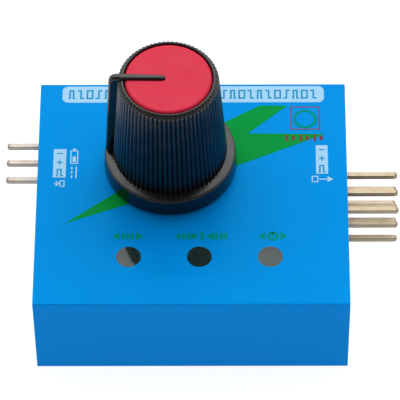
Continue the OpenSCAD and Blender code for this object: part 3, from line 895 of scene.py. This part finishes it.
def make_port_labels():
    """Minus, plus and signal, from the rear pin of a row to its front pin."""
    for name, (x0, x1, y0, y1) in PORT_LABELS.items():
        x = (x0 + x1) / 2
        make_print(f"{name}_label", [bar(x0, y0, x1, y1)], PALE_INK)
        minus = bar_about(x, y1 - 0.65, 0.33, SIGN_HALF)
        plus = cross(x, y1 - 1.95, 0.36, SIGN_HALF)
        pulse = stroke(placed(PULSE, x - 0.42, y0 + 0.25, 0.84, 0.95), 0.17)
        make_print(f"{name}_signs", [minus, plus, pulse], BLUE_INK, 2)


def make_port_arrows():
    """Each arrow follows the signal: into the input row, out of the output block."""
    socket_in = stroke(placed(FRAME, -15.6, 0.8, 0.6, 0.8), 0.14)
    arrow_in = [bar(-16.25, 1.12, -15.95, 1.28), wedge(-15.6, 1.2, 0.45, 0.8)]
    socket_out = stroke(placed(FRAME, 14.05, 1.4, 0.8, 0.8), 0.14)
    arrow_out = [bar(14.95, 1.71, 15.9, 1.87), wedge(16.62, 1.79, 0.7, 0.85)]
    make_print("port_arrows", [socket_in, *arrow_in, socket_out, *arrow_out], PALE_INK)


def make_supply_marks():
    """A battery, and the line and dashes of direct current, beside the input row."""
    x, y = SUPPLY_X, BATTERY_Y
    inner = bar_about(x, y, 0.33, 0.85)
    outer = bar_about(x, y, 0.47, 0.99)
    nub = bar_about(x, y + 1.14, 0.2, 0.11)
    charge = bar_about(x, y - 0.3, 0.2, 0.4)
    y = DIRECT_CURRENT_Y
    steady = bar_about(x + 0.28, y, 0.08, 0.85)
    dashes = [bar_about(x - 0.26, y + k, 0.08, 0.2) for k in (-0.64, 0, 0.64)]
    make_print("supply_marks", [nub, charge, steady, *dashes], PALE_INK, 1, [(inner, outer)])


def make_marks():
    """Generic marks only: signal symbols, polarity signs, arrows, a battery and a plain bolt."""
    make_title()
    make_port_labels()
    make_port_arrows()
    make_supply_marks()
    make_bolt()
    make_key_marks()
    make_indicator_marks()


def make_bolt():
    """A plain green bolt that runs under the knob."""
    bolt = [
        (-14.8, -4.6), (-7.4, -1.8), (5.5, 3.9), (15.8, 8.5), (6.6, 8.6), (11.3, 12.8), (8, 12.8),
        (-3, 6.2), (-4.2, 3.5),
    ]
    make_print("green_bolt", [bolt], GREEN_INK)


KEY_FRAME_HALF = 1.76
KEY_FRAME_LINE = 0.15
KEY_FRAME_SHIFT = 0.15
KEY_MARKS_X = 10.93
KEY_MARKS_PITCH = 0.83


def make_key_marks():
    """A square round the key, a ring on the key itself, and small red marks in front of it."""
    y = KEY.y + KEY_FRAME_SHIFT
    clear = KEY_FRAME_HALF - KEY_FRAME_LINE
    inner = bar_about(KEY.x, y, clear, clear)
    outer = bar_about(KEY.x, y, KEY_FRAME_HALF, KEY_FRAME_HALF)
    make_print("key_frame", [], RED_INK, 1, [(inner, outer)])
    low, high = 7.4, 8.4
    marks = []
    for i in range(6):
        x = KEY_MARKS_X + KEY_MARKS_PITCH * i
        if i % 2:
            marks.append(wedge(x + 0.55, (low + high) / 2, 0.55, high - low))
        else:
            marks.append(bar(x + 0.1, low, x + 0.42, high))
    make_print("key_marks", marks, RED_INK, 2)
    inner, outer = (circle(KEY.x, KEY.y, r, 72) for r in (1.08, 1.38))
    bm = bmesh.new()
    ring_of(bm, inner, outer, TOP, TOP + INK)
    printed = piece_from("key_ring", bm)
    finish(printed, TEAL_INK, "select_key")


INDICATOR_MARKS_RISE = 2.92
INDICATOR_MARKS_TALL = 1.15
SHORT_BAR_HALF = 0.42


def make_indicator_marks():
    """Behind each window: sweep arrows, centring arrows, and a small dial."""
    y = WINDOWS[0].y + INDICATOR_MARKS_RISE
    tall = INDICATOR_MARKS_TALL
    x = -7.42
    sweep = [wedge(x - 1.85, y, -0.9, tall), wedge(x + 1.85, y, 0.9, tall)]
    sweep += [bar_about(x - 0.56 + 0.52 * i, y, 0.16, SHORT_BAR_HALF) for i in range(3)]
    x = 1.2
    centring = [wedge(x - 0.4, y, 0.95, tall), wedge(x + 0.4, y, -0.95, tall)]
    centring += [bar_about(x, y, 0.16, tall / 2)]
    for side in (-1, 1):
        centring += [bar_about(x + side * k, y, 0.17, SHORT_BAR_HALF) for k in (1.65, 2.2, 2.75)]
    x = 9.4
    dial = [wedge(x - 1.7, y, -0.8, tall), wedge(x + 1.7, y, 0.8, tall), bar(x - 0.12, y, x + 0.12, y + 0.6)]
    ring = tuple(circle(x, y, r, 32) for r in (0.36, 0.64))
    make_print("indicator_marks", sweep + centring + dial, TEAL_INK, 1, [ring])


# ---------------------------------------------------------------- floor and light

FLOOR_HALF = 900
FLOOR_LEVEL = -0.02


def make_floor():
    """A pale, softly glowing table that stays near white in the object's shadow."""
    f = Finish("pale_floor")
    f.join(f.mix(f.noise(30, 3), (0.37, 0.37, 0.37), (0.4, 0.4, 0.4)), f.shader.inputs["Base Color"])
    f.set(Roughness=0.9, Specular_IOR_Level=0.1, Emission_Strength=0.88)
    f.shader.inputs["Emission Color"].default_value = (1, 1, 1, 1)
    bm = bmesh.new()
    bm.faces.new([bm.verts.new((x, y, FLOOR_LEVEL)) for x, y in bar_about(0, 0, FLOOR_HALF, FLOOR_HALF)])
    floor = piece_from("floor", bm)
    floor.data.materials.append(f.material)


# The sky's soft patches: the height of each one's middle, measured from the horizon behind the object, and
# the angles at which it starts to fade and ends, in degrees. WIDEN stretches both sideways.
LIGHT_HEIGHT = 52
LIGHT_CORE = 14
LIGHT_EDGE = 32
LIGHT_POWER = 1.7
SHADE_HEIGHT = 122
SHADE_CORE = 30
SHADE_EDGE = 62
SHADE_DEPTH = 1.05
WIDEN = 0.6
TENT_LOW = 0.8
TENT_HIGH = 1.35


def world_ramp(tree, value, low, high, to_low, to_high, smooth=False):
    """Maps a value from one range to another, and holds it at both ends."""
    node = tree.nodes.new("ShaderNodeMapRange")
    node.interpolation_type = "SMOOTHSTEP" if smooth else "LINEAR"
    node.inputs["From Min"].default_value = low
    node.inputs["From Max"].default_value = high
    node.inputs["To Min"].default_value = to_low
    node.inputs["To Max"].default_value = to_high
    tree.links.new(value, node.inputs["Value"])
    return node.outputs["Result"]


def toward(tree, direction, height, core, edge, value):
    """A soft wide patch of the sky: this value inside the core angle, none beyond the edge angle."""
    widen = tree.nodes.new("ShaderNodeVectorMath")
    widen.operation = "MULTIPLY"
    widen.inputs[1].default_value = (WIDEN, 1, 1)
    tree.links.new(direction, widen.inputs[0])
    even = tree.nodes.new("ShaderNodeVectorMath")
    even.operation = "NORMALIZE"
    tree.links.new(widen.outputs["Vector"], even.inputs[0])
    aim = tree.nodes.new("ShaderNodeVectorMath")
    aim.operation = "DOT_PRODUCT"
    aim.inputs[1].default_value = (0, math.cos(math.radians(height)), math.sin(math.radians(height)))
    tree.links.new(even.outputs["Vector"], aim.inputs[0])
    low, high = math.cos(math.radians(edge)), math.cos(math.radians(core))
    return world_ramp(tree, aim.outputs["Value"], low, high, 0, value, smooth=True)


def world_math(tree, operation, first, second):
    """A sum or difference of two outputs."""
    node = tree.nodes.new("ShaderNodeMath")
    node.operation = operation
    for socket, value in zip(node.inputs, (first, second)):
        tree.links.new(value, socket)
    return node.outputs["Value"]


def make_world():
    """A white studio tent, darker above the camera, with one broad soft light high up behind the object."""
    world = bpy.data.worlds.new("studio")
    bpy.context.scene.world = world
    world.use_nodes = True
    tree = world.node_tree
    direction = tree.nodes.new("ShaderNodeTexCoord").outputs["Generated"]
    split = tree.nodes.new("ShaderNodeSeparateXYZ")
    tree.links.new(direction, split.inputs["Vector"])
    tent = world_ramp(tree, split.outputs["Z"], -0.1, 0.7, TENT_LOW, TENT_HIGH)
    shade_patch = toward(tree, direction, SHADE_HEIGHT, SHADE_CORE, SHADE_EDGE, SHADE_DEPTH)
    light_patch = toward(tree, direction, LIGHT_HEIGHT, LIGHT_CORE, LIGHT_EDGE, LIGHT_POWER)
    shaded = world_math(tree, "SUBTRACT", tent, shade_patch)
    total = world_math(tree, "ADD", shaded, light_patch)
    tree.links.new(total, tree.nodes["Background"].inputs["Strength"])
    tree.nodes["Background"].inputs["Color"].default_value = (1, 1, 1, 1)


def make_studio():
    """The floor, the light and the plain view transform."""
    make_floor()
    make_world()
    bpy.context.scene.view_settings.view_transform = "Standard"


make_studio()
dress_cad_nodes()
make_case()
make_key()
make_knob()
make_knob_cap()
make_pins("input_pins", "input_wires", SILVER_PIN)
for row in ("lower", "middle", "upper"):
    make_pins(f"output_pins_{row}", f"output_wires_{row}", GOLD_PIN)
make_housing("input_housing", "input_block", 1)
make_housing("output_housing", "output_block", 3)
make_marks()
